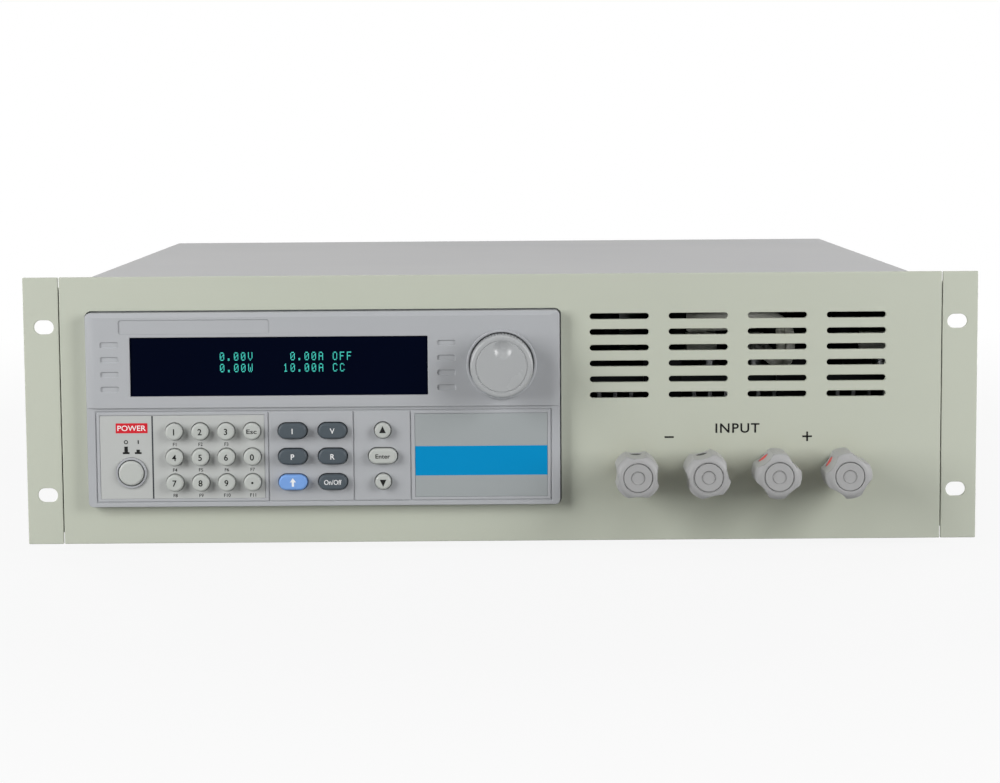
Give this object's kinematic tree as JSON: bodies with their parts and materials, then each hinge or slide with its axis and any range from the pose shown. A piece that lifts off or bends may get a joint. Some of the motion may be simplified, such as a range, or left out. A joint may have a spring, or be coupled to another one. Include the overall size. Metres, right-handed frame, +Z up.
{
  "type": "dc electronic load",
  "caption": "Rack mounting DC electronic load: sheet metal chassis, control bezel with display, keys and dial, vents, screw terminals with hand knobs and rear fans.",
  "frame": {"origin": "on the ground under the middle of the bounding box", "axes": "+X to the right seen from the front, +Y to the rear, +Z up; the front panel faces -Y"},
  "size_m": [0.4826, 0.5264, 0.14],
  "materials": {
    "panel_paint": "fine textured warm grey paint",
    "cover_paint": "fine textured neutral grey paint",
    "zinc_steel": "zinc plated sheet",
    "screw_steel": "plated",
    "foot_rubber": "matt",
    "moulding": "fine spark texture",
    "smoked_window": "clear smoked acrylic",
    "display_glass": "dark glass",
    "keypad_print": "printed film",
    "side_print": "printed film with a blue band",
    "pale_key": "satin",
    "slate_key": "satin",
    "blue_key": "satin",
    "dial_plastic": "satin",
    "knob_plastic": "satin moulded",
    "black_plastic": "matt",
    "board_green": "solder mask",
    "stud_brass": "machined",
    "tinned_copper": "tinned",
    "sink_alloy": "extruded",
    "winding": "taped winding"
  },
  "bodies": {
    "chassis": {"front_panel": "panel_paint", "rack_ears": "panel_paint", "base_tray": "zinc_steel", "top_cover": "cover_paint", "rear_panel": "cover_paint", "feet": "foot_rubber", "chassis_screws": "screw_steel", "bezel": "moulding", "display_window": "smoked_window", "display_module": "display_glass", "key_board": "board_green", "keypad_inlay": "keypad_print", "side_inlay": "side_print", "encoder_body": "zinc_steel", "power_switch": "black_plastic", "terminal_bushings": "black_plastic", "terminal_studs": "stud_brass", "bus_bars": "tinned_copper", "heatsinks": "sink_alloy", "power_boards": "board_green", "power_transistors": "black_plastic", "fan_frames": "black_plastic", "transformer": "winding", "control_board": "board_green", "mains_inlet": "black_plastic", "serial_port": "zinc_steel"},
    "key_7": {"key_7": "pale_key"},
    "key_8": {"key_8": "pale_key"},
    "key_9": {"key_9": "pale_key"},
    "key_point": {"key_point": "pale_key"},
    "key_4": {"key_4": "pale_key"},
    "key_5": {"key_5": "pale_key"},
    "key_6": {"key_6": "pale_key"},
    "key_0": {"key_0": "pale_key"},
    "key_1": {"key_1": "pale_key"},
    "key_2": {"key_2": "pale_key"},
    "key_3": {"key_3": "pale_key"},
    "key_escape": {"key_escape": "pale_key"},
    "key_shift": {"key_shift": "blue_key"},
    "key_on_off": {"key_on_off": "slate_key"},
    "key_power_set": {"key_power_set": "slate_key"},
    "key_resistance_set": {"key_resistance_set": "slate_key"},
    "key_current_set": {"key_current_set": "slate_key"},
    "key_voltage_set": {"key_voltage_set": "slate_key"},
    "key_down": {"key_down": "pale_key"},
    "key_enter": {"key_enter": "pale_key"},
    "key_up": {"key_up": "pale_key"},
    "power_button": {"power_button": "pale_key"},
    "dial": {"dial": "dial_plastic"},
    "clamp_washer_1": {"clamp_washer_1": "screw_steel"},
    "terminal_knob_1": {"terminal_knob_1": "knob_plastic"},
    "clamp_washer_2": {"clamp_washer_2": "screw_steel"},
    "terminal_knob_2": {"terminal_knob_2": "knob_plastic"},
    "clamp_washer_3": {"clamp_washer_3": "screw_steel"},
    "terminal_knob_3": {"terminal_knob_3": "knob_plastic"},
    "clamp_washer_4": {"clamp_washer_4": "screw_steel"},
    "terminal_knob_4": {"terminal_knob_4": "knob_plastic"},
    "fan_rotor_left": {"fan_rotor_left": "black_plastic"},
    "fan_rotor_right": {"fan_rotor_right": "black_plastic"},
    "fuse_drawer": {"fuse_drawer": "black_plastic"}
  },
  "joints": [
    {"name": "key_7_press", "type": "slide", "parent": "chassis", "child": "key_7", "axis": [0, 1, 0], "range_m": [0, 0.001], "stiffness_N_per_m": 400},
    {"name": "key_8_press", "type": "slide", "parent": "chassis", "child": "key_8", "axis": [0, 1, 0], "range_m": [0, 0.001], "stiffness_N_per_m": 400},
    {"name": "key_9_press", "type": "slide", "parent": "chassis", "child": "key_9", "axis": [0, 1, 0], "range_m": [0, 0.001], "stiffness_N_per_m": 400},
    {"name": "key_point_press", "type": "slide", "parent": "chassis", "child": "key_point", "axis": [0, 1, 0], "range_m": [0, 0.001], "stiffness_N_per_m": 400},
    {"name": "key_4_press", "type": "slide", "parent": "chassis", "child": "key_4", "axis": [0, 1, 0], "range_m": [0, 0.001], "stiffness_N_per_m": 400},
    {"name": "key_5_press", "type": "slide", "parent": "chassis", "child": "key_5", "axis": [0, 1, 0], "range_m": [0, 0.001], "stiffness_N_per_m": 400},
    {"name": "key_6_press", "type": "slide", "parent": "chassis", "child": "key_6", "axis": [0, 1, 0], "range_m": [0, 0.001], "stiffness_N_per_m": 400},
    {"name": "key_0_press", "type": "slide", "parent": "chassis", "child": "key_0", "axis": [0, 1, 0], "range_m": [0, 0.001], "stiffness_N_per_m": 400},
    {"name": "key_1_press", "type": "slide", "parent": "chassis", "child": "key_1", "axis": [0, 1, 0], "range_m": [0, 0.001], "stiffness_N_per_m": 400},
    {"name": "key_2_press", "type": "slide", "parent": "chassis", "child": "key_2", "axis": [0, 1, 0], "range_m": [0, 0.001], "stiffness_N_per_m": 400},
    {"name": "key_3_press", "type": "slide", "parent": "chassis", "child": "key_3", "axis": [0, 1, 0], "range_m": [0, 0.001], "stiffness_N_per_m": 400},
    {"name": "key_escape_press", "type": "slide", "parent": "chassis", "child": "key_escape", "axis": [0, 1, 0], "range_m": [0, 0.001], "stiffness_N_per_m": 400},
    {"name": "key_shift_press", "type": "slide", "parent": "chassis", "child": "key_shift", "axis": [0, 1, 0], "range_m": [0, 0.001], "stiffness_N_per_m": 400},
    {"name": "key_on_off_press", "type": "slide", "parent": "chassis", "child": "key_on_off", "axis": [0, 1, 0], "range_m": [0, 0.001], "stiffness_N_per_m": 400},
    {"name": "key_power_set_press", "type": "slide", "parent": "chassis", "child": "key_power_set", "axis": [0, 1, 0], "range_m": [0, 0.001], "stiffness_N_per_m": 400},
    {"name": "key_resistance_set_press", "type": "slide", "parent": "chassis", "child": "key_resistance_set", "axis": [0, 1, 0], "range_m": [0, 0.001], "stiffness_N_per_m": 400},
    {"name": "key_current_set_press", "type": "slide", "parent": "chassis", "child": "key_current_set", "axis": [0, 1, 0], "range_m": [0, 0.001], "stiffness_N_per_m": 400},
    {"name": "key_voltage_set_press", "type": "slide", "parent": "chassis", "child": "key_voltage_set", "axis": [0, 1, 0], "range_m": [0, 0.001], "stiffness_N_per_m": 400},
    {"name": "key_down_press", "type": "slide", "parent": "chassis", "child": "key_down", "axis": [0, 1, 0], "range_m": [0, 0.001], "stiffness_N_per_m": 400},
    {"name": "key_enter_press", "type": "slide", "parent": "chassis", "child": "key_enter", "axis": [0, 1, 0], "range_m": [0, 0.001], "stiffness_N_per_m": 400},
    {"name": "key_up_press", "type": "slide", "parent": "chassis", "child": "key_up", "axis": [0, 1, 0], "range_m": [0, 0.001], "stiffness_N_per_m": 400},
    {"name": "power_button_press", "type": "slide", "parent": "chassis", "child": "power_button", "axis": [0, -1, 0], "range_m": [0, 0.0035]},
    {"name": "dial_turn", "type": "hinge", "parent": "chassis", "child": "dial", "pos_m": [0.0003, -0.2378, 0.09505], "axis": [0, -1, 0], "continuous": true},
    {"name": "clamp_washer_1_slide", "type": "slide", "parent": "chassis", "child": "clamp_washer_1", "axis": [0, -1, 0], "range_m": [0, 0.0075]},
    {"name": "terminal_knob_1_turn", "type": "hinge", "parent": "clamp_washer_1", "child": "terminal_knob_1", "pos_m": [0.0675, -0.2478, 0.0406], "axis": [0, -1, 0], "range_deg": [0, 2160]},
    {"name": "clamp_washer_2_slide", "type": "slide", "parent": "chassis", "child": "clamp_washer_2", "axis": [0, -1, 0], "range_m": [0, 0.0075]},
    {"name": "terminal_knob_2_turn", "type": "hinge", "parent": "clamp_washer_2", "child": "terminal_knob_2", "pos_m": [0.1025, -0.2478, 0.0406], "axis": [0, -1, 0], "range_deg": [0, 2160]},
    {"name": "clamp_washer_3_slide", "type": "slide", "parent": "chassis", "child": "clamp_washer_3", "axis": [0, -1, 0], "range_m": [0, 0.0075]},
    {"name": "terminal_knob_3_turn", "type": "hinge", "parent": "clamp_washer_3", "child": "terminal_knob_3", "pos_m": [0.1375, -0.2478, 0.0406], "axis": [0, -1, 0], "range_deg": [0, 2160]},
    {"name": "clamp_washer_4_slide", "type": "slide", "parent": "chassis", "child": "clamp_washer_4", "axis": [0, -1, 0], "range_m": [0, 0.0075]},
    {"name": "terminal_knob_4_turn", "type": "hinge", "parent": "clamp_washer_4", "child": "terminal_knob_4", "pos_m": [0.1725, -0.2478, 0.0406], "axis": [0, -1, 0], "range_deg": [0, 2160]},
    {"name": "fan_rotor_left_spin", "type": "hinge", "parent": "chassis", "child": "fan_rotor_left", "pos_m": [0.0775, 0.2422, 0.072], "axis": [0, 1, 0], "continuous": true},
    {"name": "fan_rotor_right_spin", "type": "hinge", "parent": "chassis", "child": "fan_rotor_right", "pos_m": [0.1705, 0.2422, 0.072], "axis": [0, 1, 0], "continuous": true},
    {"name": "fuse_drawer_pull", "type": "slide", "parent": "chassis", "child": "fuse_drawer", "axis": [0, 1, 0], "range_m": [0, 0.018]}
  ],
  "couplings": [
    {"joint": "terminal_knob_1_turn", "follows": "clamp_washer_1_slide", "rad_per_m": 5026.5},
    {"joint": "terminal_knob_2_turn", "follows": "clamp_washer_2_slide", "rad_per_m": 5026.5},
    {"joint": "terminal_knob_3_turn", "follows": "clamp_washer_3_slide", "rad_per_m": 5026.5},
    {"joint": "terminal_knob_4_turn", "follows": "clamp_washer_4_slide", "rad_per_m": 5026.5}
  ]
}
